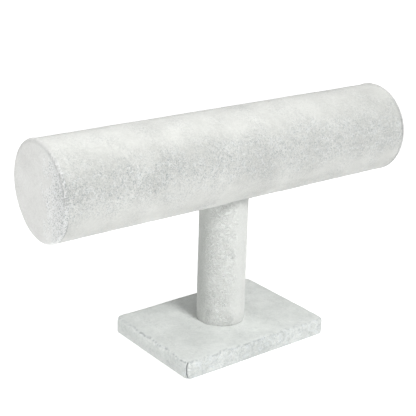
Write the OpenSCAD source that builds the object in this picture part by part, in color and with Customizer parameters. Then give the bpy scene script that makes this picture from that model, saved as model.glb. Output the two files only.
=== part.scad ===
// Bracelet display stand: a velvet covered bar on a round post and a flat base.
// The origin is the centre of the underside, +Z is up and +X runs along the bar.

/* [Bar] */
// Length of the bar over its covered end caps
bar_len = 250; // [180:1:400]
// Diameter of the covered bar
bar_d = 57; // [50:0.5:75]
// Height of the bar's axis above the surface it stands on
bar_axis_h = 117.5; // [105:0.5:200]
// Wall of the bar's card tube
bar_wall = 2.5; // [1.5:0.1:4]
// Thickness of the plug in each end of the tube
end_plug_t = 6; // [3:0.5:12]

/* [Post] */
// Diameter of the covered post
post_d = 30; // [24:0.5:34]
// How far the post reaches past the tube's wall into the bar
post_reach = 2.5; // [1:0.5:6]
// Thickness of the post's cover where it is turned under the foot
post_turn_t = 0.6; // [0.4:0.1:1]
// Width of the ring that is turned under the foot
post_turn_w = 6; // [3:0.5:7]

/* [Base] */
// Width of the covered base, along the bar
base_w = 106; // [90:1:200]
// Depth of the covered base
base_d = 76; // [64:1:150]
// Thickness of the base board
board_t = 9; // [8:0.5:18]
// Corner radius of the covered base, seen from above
corner_r = 3.5; // [3:0.5:12]
// Width of the hem that is turned under the base
hem_w = 14; // [8:0.5:18]
// Thickness of the sheet under the base
backing_t = 0.4; // [0.3:0.1:1]
// Distance from the edge of the base to the edge of that sheet
backing_inset = 4; // [3:0.5:6]

/* [Cover] */
// Thickness of the velvet cover, pile included
velvet_t = 1.1; // [0.8:0.1:1.5]
// Rounding of the cover over the upper edges of the base
top_edge_r = 2; // [1:0.1:2.8]
// Rounding of the cover under the lower edges of the base
low_edge_r = 1.1; // [0.5:0.1:2]
// Width of the seams
seam_w = 0.5; // [0.3:0.1:0.8]
// Depth of the seams
seam_depth = 0.7; // [0.3:0.1:0.75]

/* [End caps] */
// Thickness of the card disc in each end cap
disc_t = 0.6; // [0.5:0.1:3]
// Thickness of the cover where it is turned behind the disc
cap_turn_t = 0.3; // [0.2:0.1:0.8]
// Width of the ring that is turned behind the disc
cap_turn_w = 8; // [4:0.5:12]
// How far the cap's rim stands proud of the bar
cap_proud = 0.3; // [0:0.1:0.8]
// Rounding of the cap's front edge
cap_edge_r = 1.6; // [0.8:0.1:1.7]

/* [Joint in the bar] */
// Length of the block that holds the bar on the post
block_len = 44; // [36:1:60]
// Diameter of the stud between post and block
stud_d = 8; // [6:1:10]
// Length of the stud in the post
stud_in_post = 22; // [15:1:26]
// Length of the stud in the block
stud_in_block = 14; // [10:1:20]
// Wall of the threaded insert in the block
insert_wall = 1.9; // [1.5:0.1:3]
// Diameter of the insert's flange
insert_flange_d = 17; // [16:0.5:20]
// Thickness of the insert's flange
insert_flange_t = 1.5; // [1:0.5:2.5]

/* [Base screw] */
// Diameter of the screw that holds the post
screw_d = 4.5; // [3.5:0.5:6]
// Length of the screw below its head
screw_len = 38; // [30:1:42]
// Length of the screw's pointed tip
screw_tip = 6; // [4:0.5:8]
// Diameter of the screw's head
head_d = 9; // [8:0.5:11]
// Height of the screw's head
head_t = 2.8; // [2:0.1:3.2]
// Diameter of the washer
washer_d = 12; // [11.5:0.5:14]
// Thickness of the washer
washer_t = 1; // [0.6:0.1:1.2]
// Distance from the board's underside to the head
head_sink = 0.5; // [0.2:0.1:1]

/* [Fits] */
// Gap round the post where it enters the bar
post_gap = 0.25; // [0.1:0.05:0.6]
// Gap round screws and studs in their holes
bolt_gap = 0.1; // [0.05:0.05:0.3]
// Gap round the washer and the insert's flange
ring_gap = 0.5; // [0.2:0.1:0.8]
// Thickness of a glue line
glue_t = 0.05; // [0.02:0.01:0.1]

/* [Hidden] */
$fn = 96;

// Allowance by which a cut passes the face that it opens
cut = 1;
// Rounding left on an edge that is cut off square
crisp_r = 0.05;

// Heights in the base
hem_z = backing_t;
board_z = hem_z + velvet_t;
board_top = board_z + board_t;
base_top = board_top + velvet_t;

// Board, and the window inside the hem
board_w = base_w - 2 * (velvet_t + glue_t);
board_d = base_d - 2 * (velvet_t + glue_t);
board_r = corner_r - velvet_t - glue_t;
window_w = base_w - 2 * hem_w;
window_d = base_d - 2 * hem_w;
window_r = 3;

// Radii in the bar, from the outside in
bar_r = bar_d / 2;
tube_r = bar_r - velvet_t - glue_t;
tube_bore_r = tube_r - bar_wall;
plug_r = tube_bore_r - glue_t;

// End caps
cap_t = velvet_t + disc_t + cap_turn_t;
cap_r = bar_r + cap_proud;
disc_r = cap_r - velvet_t;
tube_len = bar_len - 2 * cap_t;

// Post
post_hole_r = post_d / 2 + post_gap;
core_r = post_d / 2 - velvet_t - glue_t;
core_z = base_top + post_turn_t;
post_top = bar_axis_h - sqrt(pow(tube_bore_r, 2) - pow(post_hole_r, 2)) + post_reach;

// Screw under the base
recess_depth = head_sink + head_t + washer_t;
recess_r = washer_d / 2 + ring_gap;
head_z = board_z + head_sink;
washer_z = head_z + head_t;
screw_top = washer_z + screw_len;
screw_hole_r = screw_d / 2 + bolt_gap;
cross_w = 1.1;
cross_len = head_d * 0.55;
cross_depth = head_t * 0.55;

// Stud and insert
stud_hole_r = stud_d / 2 + bolt_gap;
stud_tip = stud_d / 2;
insert_r = stud_hole_r + insert_wall;
insert_len = stud_in_block;
insert_hole_r = insert_r + glue_t;
stud_end_gap = 2;

// Colours
velvet_grey = [0.83, 0.84, 0.83];
board_brown = [0.62, 0.49, 0.35];
wood_tan = [0.80, 0.68, 0.50];
card_buff = [0.73, 0.65, 0.52];
backing_grey = [0.55, 0.55, 0.54];
zinc = [0.75, 0.76, 0.78];
brass_yellow = [0.80, 0.66, 0.36];

// Shared shapes

// Turns a shape that stands on the XY plane so that it lies along +X
module along_x() {
    rotate([0, 90, 0]) children();
}

// Cylinder on the bar's axis, centred on the post
module bar_cylinder(r, length) {
    translate([0, 0, bar_axis_h])
        along_x()
            cylinder(r = r, h = length, center = true);
}

// Moves a shape from the bar's middle to the tube's right end, lying along +X
module at_tube_end() {
    translate([tube_len / 2, 0, bar_axis_h])
        along_x()
            children();
}

// Places a copy of a shape at each corner of a rectangle
module at_corners(w, d) {
    for (sx = [-1, 1], sy = [-1, 1])
        translate([sx * w / 2, sy * d / 2, 0])
            children();
}

// Flat plate with round corners
module plate(w, d, h, r) {
    union() {
        translate([-w / 2 + r, -d / 2, 0]) cube([w - 2 * r, d, h]);
        translate([-w / 2, -d / 2 + r, 0]) cube([w, d - 2 * r, h]);
        at_corners(w - 2 * r, d - 2 * r) cylinder(r = r, h = h);
    }
}

// Section through the rim of a soft plate, with both outer corners rounded
module rim_section(reach, h, top_r, low_r) {
    square([reach - low_r, h / 2]);
    translate([0, h / 2]) square([reach - top_r, h / 2]);
    translate([0, low_r]) square([reach, h - low_r - top_r]);
    translate([reach - low_r, low_r]) mirror([0, 1]) quarter_disc(low_r);
    translate([reach - top_r, h - top_r]) quarter_disc(top_r);
}

// Quarter of a disc, between the +X and +Y axes
module quarter_disc(r) {
    intersection() {
        circle(r);
        square(r);
    }
}

// Plate with round corners and rounded upper and lower edges
module soft_plate(w, d, h, r, top_r, low_r) {
    translate([-w / 2 + r, -d / 2 + r, 0]) cube([w - 2 * r, d - 2 * r, h]);
    at_corners(w - 2 * r, d - 2 * r)
        rotate_extrude()
            rim_section(r, h, top_r, low_r);
    for (side = [0, 1]) {
        rotate([0, 0, 180 * side])
            translate([w / 2 - r, d / 2 - r, 0])
                rotate([90, 0, 0])
                    linear_extrude(d - 2 * r)
                        rim_section(r, h, top_r, low_r);
        rotate([0, 0, 180 * side + 90])
            translate([d / 2 - r, w / 2 - r, 0])
                rotate([90, 0, 0])
                    linear_extrude(w - 2 * r)
                        rim_section(r, h, top_r, low_r);
    }
}

// Base

// Board with a hole for the screw and a recess for its head and washer
module base_board() {
    color(board_brown)
        difference() {
            translate([0, 0, board_z]) plate(board_w, board_d, board_t, board_r);
            translate([0, 0, board_z - cut]) cylinder(r = recess_r, h = recess_depth + cut);
            translate([0, 0, board_z]) cylinder(r = screw_hole_r, h = board_t + cut);
        }
}

// Slits where the cover is cut and butted together at its four corners
module corner_seams() {
    slit_r = corner_r - seam_depth;
    slit_h = velvet_t + board_t + velvet_t - top_edge_r / 3;
    for (sx = [-1, 1], sy = [-1, 1]) {
        centre_x = sx * (base_w / 2 - corner_r);
        centre_y = sy * (base_d / 2 - corner_r);
        translate([centre_x, centre_y, hem_z])
            rotate([0, 0, atan2(sy, sx)])
                translate([slit_r, -seam_w / 2, -cut])
                    cube([corner_r, seam_w, slit_h + cut]);
    }
}

// Mitres between the turned hems, each from the window out to the corner
module hem_mitres() {
    mitre_len = (hem_w - corner_r + window_r) * sqrt(2) + corner_r + cut;
    for (sx = [-1, 1], sy = [-1, 1])
        translate([sx * (window_w / 2 - window_r), sy * (window_d / 2 - window_r), hem_z - cut])
            rotate([0, 0, atan2(sy, sx)])
                translate([0, -seam_w / 2, 0])
                    cube([mitre_len, seam_w, velvet_t + cut]);
}

// Cover of the base: top, sides and the hem turned under the board
module base_cover() {
    color(velvet_grey)
        difference() {
            translate([0, 0, hem_z])
                soft_plate(base_w, base_d, base_top - hem_z, corner_r, top_edge_r, low_edge_r);
            translate([0, 0, board_z])
                plate(board_w + 2 * glue_t, board_d + 2 * glue_t, board_t, board_r + glue_t);
            translate([0, 0, hem_z - cut])
                plate(window_w, window_d, velvet_t + 2 * cut, window_r);
            translate([0, 0, board_top - cut])
                cylinder(r = screw_hole_r, h = velvet_t + 2 * cut);
            corner_seams();
            hem_mitres();
        }
}

// Sheet glued under the hem, pressed up to the board inside the window
module base_backing() {
    sheet_w = base_w - 2 * backing_inset;
    sheet_d = base_d - 2 * backing_inset;
    raised_w = window_w - 2 * glue_t;
    raised_d = window_d - 2 * glue_t;
    raised_r = window_r - glue_t;
    color(backing_grey)
        difference() {
            union() {
                plate(sheet_w, sheet_d, backing_t, corner_r);
                plate(raised_w, raised_d, board_z, raised_r);
            }
            translate([0, 0, -cut])
                plate(raised_w - 2 * backing_t, raised_d - 2 * backing_t,
                      velvet_t + cut, raised_r - backing_t);
            cylinder(r = recess_r, h = board_z + cut);
        }
}

// Screw from below, with a domed head and a cross recess
module base_screw() {
    color(zinc)
        difference() {
            union() {
                translate([0, 0, washer_z])
                    cylinder(r = screw_d / 2, h = screw_len - screw_tip);
                translate([0, 0, screw_top - screw_tip])
                    cylinder(r1 = screw_d / 2, r2 = 0, h = screw_tip);
                translate([0, 0, washer_z])
                    mirror([0, 0, 1])
                        screw_head();
            }
            translate([0, 0, head_z - cut])
                for (turn = [0, 90])
                    rotate([0, 0, turn])
                        translate([-cross_len / 2, -cross_w / 2, 0])
                            cube([cross_len, cross_w, cross_depth + cut]);
        }
}

// Domed head, its flat side on the XY plane
module screw_head() {
    rotate_extrude()
        union() {
            square([head_d / 2 - head_t, head_t]);
            translate([head_d / 2 - head_t, 0]) quarter_disc(head_t);
        }
}

// Washer between the screw's head and the board
module base_washer() {
    color(zinc)
        translate([0, 0, washer_z])
            difference() {
                cylinder(r = washer_d / 2, h = washer_t);
                translate([0, 0, -cut]) cylinder(r = screw_hole_r, h = washer_t + 2 * cut);
            }
}

// Post

// Round wooden core, drilled at both ends
module post_core() {
    color(wood_tan)
        difference() {
            translate([0, 0, core_z]) cylinder(r = core_r, h = post_top - core_z);
            translate([0, 0, core_z - cut])
                cylinder(r = screw_hole_r, h = screw_top - core_z + stud_end_gap + cut);
            translate([0, 0, post_top - stud_in_post - stud_end_gap])
                cylinder(r = stud_hole_r, h = stud_in_post + stud_end_gap + cut);
        }
}

// Sleeve of velvet with a seam behind, turned under the core at the foot
module post_cover() {
    sleeve_h = post_top - base_top;
    turn_r = core_r + glue_t - post_turn_w;
    color(velvet_grey)
        difference() {
            translate([0, 0, base_top])
                rotate_extrude()
                    difference() {
                        rim_section(post_d / 2, sleeve_h, crisp_r, post_turn_t);
                        translate([0, post_turn_t]) square([core_r + glue_t, sleeve_h]);
                        square([turn_r, post_turn_t]);
                    }
            translate([-seam_w / 2, post_d / 2 - seam_depth, base_top - cut])
                cube([seam_w, post_d, sleeve_h + 2 * cut]);
        }
}

// Stud with a wood screw end in the post and a machine end in the insert
module post_stud() {
    color(zinc)
        union() {
            translate([0, 0, post_top - stud_in_post])
                cylinder(r1 = stud_d / 4, r2 = stud_d / 2, h = stud_tip);
            translate([0, 0, post_top - stud_in_post + stud_tip])
                cylinder(r = stud_d / 2, h = stud_in_post - stud_tip + stud_in_block);
        }
}

// Bar

// Round hole for the post in the underside of the bar
module post_hole() {
    translate([0, 0, bar_axis_h - bar_r - cut])
        cylinder(r = post_hole_r, h = post_top - bar_axis_h + bar_r + cut);
}

// Card tube
module bar_tube() {
    color(card_buff)
        difference() {
            bar_cylinder(tube_r, tube_len);
            bar_cylinder(tube_bore_r, tube_len + 2 * cut);
            post_hole();
        }
}

// Velvet wrap with its seam along the underside
module bar_cover() {
    color(velvet_grey)
        difference() {
            bar_cylinder(bar_r, tube_len);
            bar_cylinder(tube_r + glue_t, tube_len + 2 * cut);
            post_hole();
            translate([-bar_len / 2, -seam_w / 2, bar_axis_h - bar_r - cut])
                cube([bar_len, seam_w, seam_depth + cut]);
        }
}

// Block glued into the tube, flat where the post's top bears on it
module bar_block() {
    color(wood_tan)
        difference() {
            bar_cylinder(plug_r, block_len);
            translate([-block_len / 2 - cut, -bar_r, bar_axis_h - bar_r])
                cube([block_len + 2 * cut, bar_d, post_top - bar_axis_h + bar_r]);
            translate([0, 0, post_top - cut]) {
                cylinder(r = insert_flange_d / 2 + ring_gap, h = insert_flange_t + cut);
                cylinder(r = insert_hole_r, h = insert_len + cut);
                cylinder(r = stud_hole_r, h = stud_in_block + stud_end_gap + cut);
            }
        }
}

// Flanged insert, its flange flush with the flat of the block
module block_insert() {
    color(brass_yellow)
        translate([0, 0, post_top])
            difference() {
                union() {
                    cylinder(r = insert_flange_d / 2, h = insert_flange_t);
                    cylinder(r = insert_r, h = insert_len);
                }
                translate([0, 0, -cut]) cylinder(r = stud_hole_r, h = insert_len + 2 * cut);
            }
}

// Plug in the right end of the tube
module end_plug() {
    color(board_brown)
        at_tube_end()
            translate([0, 0, -end_plug_t])
                cylinder(r = plug_r, h = end_plug_t);
}

// Card disc in the right end cap
module end_disc() {
    color(card_buff)
        at_tube_end()
            translate([0, 0, cap_turn_t])
                cylinder(r = disc_r - glue_t, h = disc_t);
}

// Velvet over the right card disc, turned behind its edge
module end_cover() {
    color(velvet_grey)
        at_tube_end()
            rotate_extrude()
                difference() {
                    rim_section(cap_r, cap_t, cap_edge_r, crisp_r);
                    square([disc_r - cap_turn_w, cap_turn_t]);
                    translate([0, cap_turn_t]) square([disc_r, disc_t]);
                }
}

module bar_plug_left() mirror([1, 0, 0]) end_plug();
module bar_plug_right() end_plug();
module end_disc_left() mirror([1, 0, 0]) end_disc();
module end_disc_right() end_disc();
module end_cover_left() mirror([1, 0, 0]) end_cover();
module end_cover_right() end_cover();

base_board();
base_cover();
base_backing();
base_screw();
base_washer();
post_core();
post_cover();
post_stud();
bar_tube();
bar_cover();
bar_block();
block_insert();
bar_plug_left();
bar_plug_right();
end_disc_left();
end_disc_right();
end_cover_left();
end_cover_right();
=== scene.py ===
"""Bracelet display stand: its velvet covers and felt backing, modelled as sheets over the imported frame."""
import math

import bpy
import numpy as np
from mathutils import Matrix, Vector


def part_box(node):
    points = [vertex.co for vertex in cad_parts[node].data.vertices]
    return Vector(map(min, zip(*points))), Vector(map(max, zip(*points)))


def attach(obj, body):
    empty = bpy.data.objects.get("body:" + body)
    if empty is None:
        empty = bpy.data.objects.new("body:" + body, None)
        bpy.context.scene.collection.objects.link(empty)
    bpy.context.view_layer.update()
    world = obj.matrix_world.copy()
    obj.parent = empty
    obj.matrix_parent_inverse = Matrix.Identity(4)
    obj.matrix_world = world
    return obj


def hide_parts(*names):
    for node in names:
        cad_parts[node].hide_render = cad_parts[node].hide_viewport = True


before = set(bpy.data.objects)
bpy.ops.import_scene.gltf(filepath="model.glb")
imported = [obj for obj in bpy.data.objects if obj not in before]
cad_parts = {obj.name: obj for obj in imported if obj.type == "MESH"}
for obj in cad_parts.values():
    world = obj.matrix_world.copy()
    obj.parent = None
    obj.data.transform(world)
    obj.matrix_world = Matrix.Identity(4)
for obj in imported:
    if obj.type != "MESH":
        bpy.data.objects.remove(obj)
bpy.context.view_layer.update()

MM = 0.001
TURN = 2 * math.pi
QUARTER = TURN / 4
EIGHTH = TURN / 8
LEVEL = (1, 1, 0)
FAR = 1.0

# Cloth, the glue under it, and its cut edges, which roll down into a seam with a slight lip beside it
CLOTH = 1.05 * MM
GLUE = 0.05 * MM
SEAM_GAP = 0.24 * MM
SEAM_ROLL = 0.42 * MM
LIP = (0.9 * MM, 0.5 * MM, 0.12 * MM)

# Relief of the glued cloth: slow waves of the wrap, and shallow crushed patches in the pile
WRAP_WAVE = 42 * MM
WRAP_RELIEF = 0.06 * MM
CRUSH_WAVE = 5.5 * MM
CRUSH_RELIEF = 0.022 * MM
WAVE_SPREAD = (0.6, 1.5)

MARKS = ("opened", "crushed", "nap_and_shade")

# How much fuller the base's cover stands than its plain solid, and how much wider the bar's hole is than the post
BASE_PUFF = Vector((0.95, 0.7, 0)) * MM
HOLE_GAP = 0.25 * MM

# Places that the frame gives
bar_low, bar_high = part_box("bar_cover")
cap_low, cap_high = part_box("end_cover_right")
_, post_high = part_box("post_cover")
base_low, base_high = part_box("base_cover")
_, felt_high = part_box("base_backing")
board_low, board_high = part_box("base_board")

BAR_R = (bar_high.z - bar_low.z) / 2
BAR_Z = bar_high.z - BAR_R
BAR_END = bar_high.x
CAP_R = (cap_high.z - cap_low.z) / 2
CAP_END = cap_high.x
POST_R = post_high.x
HOLE_R = POST_R + HOLE_GAP
BASE_X, BASE_Y, BASE_TOP = base_high + BASE_PUFF
HEM_Z = base_low.z

# Steps of the nets in their middle and at both ends, and the length over which they change
GRADING_SAMPLES = 4001
BASE_STEPS = (0.66 * MM, 0.16 * MM, 5 * MM)
POST_STEPS_ROUND = (0.6 * MM, 0.12 * MM, 4 * MM)
POST_STEPS_UP = (0.7 * MM, 0.3 * MM, 3 * MM)
BAR_STEPS_ROUND = (0.8 * MM, 0.12 * MM, 5 * MM)
BAR_STEPS_ALONG = (1.05 * MM, 0.25 * MM, 4 * MM)


def unit(vectors):
    """Vectors made one long."""
    return vectors / np.linalg.norm(vectors, axis=-1, keepdims=True)


def smooth(x):
    """0 below 0, 1 above 1 and a smooth step between."""
    x = np.clip(x, 0, 1)
    return x * x * (3 - 2 * x)


def slope(values, start, length, strength=1.0, least=0.0):
    """The least up to the start and more by the strength a length beyond it; a negative length makes it fall."""
    return least + strength * smooth((values - start) / length)


def hill(values, middle, width, strength=1.0):
    """The full strength at the middle, fading to both sides over about the width."""
    return strength * np.exp(-(((values - middle) / width) ** 2))


def graded(length, step, fine, ease):
    """Places from 0 to length, step apart in the middle and fine apart at both ends; an even number of gaps."""
    at = np.linspace(0, length, GRADING_SAMPLES)
    gap = fine + (step - fine) * smooth(np.minimum(at, length - at) / ease)
    passed = np.concatenate([[0], np.cumsum((1 / gap[1:] + 1 / gap[:-1]) / 2 * np.diff(at))])
    count = 2 * max(1, round(passed[-1] / 2))
    return np.interp(np.linspace(0, passed[-1], count + 1), passed, at)


def waves(points, length, seed, count=40):
    """Smooth random relief of about unit size, made of waves of about this length in random directions."""
    rng = np.random.default_rng(seed)
    numbers = unit(rng.normal(size=(count, 3))) * (TURN / length * rng.uniform(*WAVE_SPREAD, (count, 1)))
    phases = rng.uniform(0, TURN, count)
    return np.cos(points @ numbers.T + phases).sum(-1) * math.sqrt(2 / count)


def relief(points, seed):
    """Height of the glued cloth over its plain form."""
    return WRAP_RELIEF * waves(points, WRAP_WAVE, seed) + CRUSH_RELIEF * waves(points, CRUSH_WAVE, seed + 1)


def roll(distance, radius):
    """How far a cut edge has dropped at this distance from it."""
    left = np.clip(radius - distance, 0, radius)
    return radius - np.sqrt(radius**2 - left**2)


def lip(distance):
    """Slight swelling of the cloth beside a butted seam."""
    return hill(distance, *LIP)


def kept_down(rise, where):
    """The pile's height, with nothing that stands out where it lies on another piece."""
    return np.where(where, np.minimum(rise, 0), rise)


def stretch(place, height, out, up):
    """A straight part of a section: place, height and normal at each point."""
    return np.stack(np.broadcast_arrays(place, height, float(out), float(up)), -1)


def arc(centre, radii, quarters, count):
    """A part of a section round an arc; its normal turns by quarters, and a radius against it is negative."""
    angles = QUARTER * np.linspace(*quarters, count)
    out, up = np.cos(angles), np.sin(angles)
    return np.stack([centre[0] + radii[0] * out, centre[1] + radii[1] * up, out, up], -1)


def distance_along(profile):
    """Distance along a section from its first point."""
    return np.concatenate([[0], np.cumsum(np.hypot(np.diff(profile[:, 0]), np.diff(profile[:, 1])))])


def listed(*nets):
    """Values on a net as one list of points each."""
    return (values.reshape(-1, values.shape[-1]) for values in nets)


def quarter_turned(vectors, number):
    """Vectors turned about the upright axis by a number of exact right angles."""
    x, y, *rest = np.moveaxis(vectors, -1, 0)
    for _ in range(number):
        x, y = -y, x
    return np.stack([x, y, *rest], -1)


def numbered(rows, columns, start=0):
    """Numbers of the points of a net."""
    return start + np.arange(rows * columns).reshape(rows, columns)


def cells(net):
    """The four-cornered cells of a net of point numbers."""
    return np.stack([net[:-1, :-1], net[:-1, 1:], net[1:, 1:], net[1:, :-1]], -1).reshape(-1, 4)


def rim_of(faces):
    """The edges that only one face uses, as start and end numbers."""
    edges = np.concatenate([faces[:, [k, (k + 1) % 4]] for k in range(4)])
    size = faces.max() + 1
    return edges[~np.isin(edges @ (size, 1), edges @ (1, size))]


def placed(name, data):
    """A new object in the scene."""
    made = bpy.data.objects.new(name, data)
    bpy.context.scene.collection.objects.link(made)
    return made


def add_mesh(name, points, faces, flat, marks):
    """A smooth mesh with the cloth's flat coordinates and the marks that its material reads."""
    used, numbers = np.unique(np.concatenate([np.ravel(f) for f in faces]), return_inverse=True)
    parts = np.split(numbers, np.cumsum([len(f) for f in faces])[:-1])
    mesh = bpy.data.meshes.new(name)
    mesh.from_pydata(points[used].tolist(), [], [p.tolist() for p in parts])
    mesh.update()
    mesh.shade_smooth()
    corners = np.zeros(len(mesh.loops), np.int32)
    mesh.loops.foreach_get("vertex_index", corners)
    layer = mesh.uv_layers.new(name="cloth")
    layer.uv.foreach_set("vector", flat[used][corners].astype(np.float32).ravel())
    for mark, values in marks.items():
        layer = mesh.attributes.new(mark, "FLOAT", "POINT")
        layer.data.foreach_set("value", values[used].astype(np.float32))
    return placed(name, mesh)


def add_sheet(name, points, normals, rise, thick, nets, flat, marks):
    """A closed sheet: every cell of the nets outside, every second line of them inside, and walls at its cut edges.

    It rises over its points and is thick below them. The nets have odd numbers of rows and columns. The marks are
    opened, how far the pile parts, crushed, how rough it lies, both from 0 to 1, and nap_and_shade, how much darker
    it lies through its nap and through painted shade; below 0 it carries painted light and painted highlights.
    """
    outer = points + normals * rise[:, None]
    inner = points - normals * np.reshape(thick, (-1, 1))
    count = len(points)
    fine = np.concatenate([cells(net) for net in nets])
    coarse = np.concatenate([cells(net[::2, ::2]) for net in nets])
    following = dict(rim_of(fine).tolist())
    walls = []
    for start, end in rim_of(coarse).tolist():
        path = [start]
        while path[-1] != end:
            path.append(following[path[-1]])
        walls.append(path[::-1] + [start + count, end + count])
    faces = [*fine, *(coarse[:, ::-1] + count), *map(np.array, walls)]
    marks = {mark: np.concatenate([values, np.zeros(count)]) for mark, values in zip(MARKS, marks)}
    return add_mesh(name, np.concatenate([outer, inner]), faces, np.concatenate([flat, flat]), marks)


def finish_piece(piece, node, material):
    """Hangs a modelled piece on the frame in place of its node."""
    piece.data.materials.append(material)
    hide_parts(node)
    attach(piece, "root")
    return piece


# Base cover: its form, the points on each stretch of its section, and how near two points count as one
CORNER_R = 4.5 * MM
TOP_EDGE_R = 3 * MM
LOW_EDGE_R = 0.9 * MM
BOARD_R = 2.35 * MM
HEM_W = 14 * MM
BASE_POINTS = (4, 12, 16, 6, 11)
HEM_GROWTH = 1.5
SAME_PLACE = 0.001 * MM

# Its corner seams: the line of the section at which they start, an even one, how they open and how each one bows
SEAM_LINE = 6
SEAM_OPENS = 1.4 * MM
SEAM_BOWS = (-0.9 * MM, -0.8 * MM, -0.3 * MM, 0.5 * MM)
BOW_POWER = 12

# Its pile. Here and below, a wave is its length and seed, a slope where it starts, its length, strength and least, and
# a hill its middle, width and strength. The top edge is rubbed along a wandering line, most on the left
BASE_SEED = 11
RUB_WAVE = (6 * MM, 16)
NICK_WAVE = (2.8 * MM, 13)
NICK_DRIFT_WAVE = (17 * MM, 14)
PATCH_WAVE = (15 * MM, 15)
LUMP_WAVE = (2.2 * MM, 18)
LONG_STREAKS = (9 * MM, 21)
SHORT_STREAKS = (4 * MM, 22)
STREAK_STRETCH = (1, 1, 0.5)
RUB_DEPTH = 0.75 * MM
RUB_WANDER = 0.2 * MM
RUB_BAND = (0.65 * MM, -0.5 * MM)
RUB_DENT = 0.1 * MM
RUB_LEAST = 0.3
RUB_LEFT = (21 * MM, -8 * MM, 0.55)
RUB_FRONT = (8 * MM, -16 * MM, 0.35, -0.12)
RUB_CRUSHED = 0.3
BASE_NICKS = (-0.1, 0.9)
NICK_DRIFT = 0.35
SEAM_PARTED = (0, 0.38 * MM)
SEAM_SIDES = (1.1 * MM, 0.6 * MM)
SEAM_CRUSHED = 0.5
SIDE_STARTS = (BASE_TOP, -1.5 * MM)
TOP_CRUSHED = 0.2
SIDE_CRUSHED = 0.25
FRONT_CRUSHED_LEFT = (12 * MM, -30 * MM, 0.14, 0.24)
FRONT_CRUSHED_MIDDLE = (1 * MM, 9 * MM, 0.35)
PATCH_CRUSHED = 0.15
# Painted light, lighter towards the right and back of the top: a slope along X times one along Y
TOP_PAINTED_LIGHT_X = (16 * MM, 16 * MM, -0.45)
TOP_PAINTED_LIGHT_Y = (-26 * MM, 14 * MM)
TOP_CLOUDS = ((0.12, 19 * MM, 19), (0.1, 7 * MM, 20))
LUMPS = (0, 0.9)
LUMPS_BELOW = (-1.2 * MM, 0.6 * MM)
LUMPS_LIGHT = 1.7
FRONT_DARK_MIDDLE = (1 * MM, 8 * MM, 0.6)
FRONT_STREAKS = (0.35, 0.7, 0.5)
UNDERSIDE = 0.2 * MM
STEEP = 0.999


def base_profile():
    """Section of the base cover from its flat top to the hem's end: inset, height and normal at each line."""
    top, edge, side, low_edge, under = BASE_POINTS
    edge_z = BASE_TOP - TOP_EDGE_R
    low = HEM_Z + LOW_EDGE_R
    hem = LOW_EDGE_R + np.linspace(0, 1, under) ** HEM_GROWTH * (HEM_W - LOW_EDGE_R)
    return np.concatenate([
        stretch(np.linspace(CORNER_R, TOP_EDGE_R, top)[:-1], BASE_TOP, 0, 1),
        arc((TOP_EDGE_R, edge_z), (-TOP_EDGE_R, TOP_EDGE_R), (1, 0), edge)[:-1],
        stretch(0, np.linspace(edge_z, low, side)[:-1], 1, 0),
        arc((LOW_EDGE_R, low), (-LOW_EDGE_R, LOW_EDGE_R), (0, -1), low_edge)[:-1],
        stretch(hem, HEM_Z, 0, -1),
    ])


def board_reach(normals):
    """How far the board under the cover reaches along each direction."""
    x, y, z = normals.T
    plan = np.abs(x) * (board_high.x - BOARD_R) + np.abs(y) * (board_high.y - BOARD_R)
    return plan + np.hypot(x, y) * BOARD_R + np.where(z > 0, z * board_high.z, z * board_low.z)


def base_flap(number, lines, half_x, half_y, profile, passed):
    """Points, normals, distances from the seams and flat places of one flap; flap 0 is in front and 1 on the right."""
    inset, height, out, up = (profile[:, k, None] for k in range(4))
    arc_r = np.maximum(CORNER_R - inset, 0)
    straight = half_x - np.maximum(inset, CORNER_R)
    reach = straight + arc_r * EIGHTH
    beyond = passed[:, None] - passed[SEAM_LINE]
    opening = smooth(beyond / SEAM_OPENS)
    bow = np.sin(np.clip(beyond / (BASE_TOP - HEM_Z), 0, 1) * math.pi)
    share = lines[None, :] / (half_x - CORNER_R)
    bow = bow * np.where(share < 0, SEAM_BOWS[number], SEAM_BOWS[(number + 1) % 4])
    along = share * (reach - opening * SEAM_GAP / 2) + bow * np.abs(share) ** BOW_POWER
    from_seam = (1 - np.abs(share)) * reach
    past = np.clip(np.abs(along) - straight, 0, None)
    rounded = arc_r > 0
    turned = np.sign(along) * rounded * np.minimum(past / np.where(rounded, arc_r, 1), QUARTER)
    x = np.clip(along, -straight, straight) + np.sign(along) * past * ~rounded + arc_r * np.sin(turned)
    y = -(half_y - np.maximum(inset, CORNER_R)) - arc_r * np.cos(turned)
    points = np.stack([x, y, np.broadcast_to(height, x.shape)], -1)
    normals = np.stack([out * np.sin(turned), -out * np.cos(turned), np.broadcast_to(up, x.shape)], -1)
    flat = np.stack([np.broadcast_to(lines[None, :], x.shape), -(half_y - CORNER_R + passed[:, None] + 0 * x)], -1)
    points, normals, flat = (quarter_turned(v, number) for v in (points, normals, flat))
    return points, normals, from_seam, opening + 0 * x, flat


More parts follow.
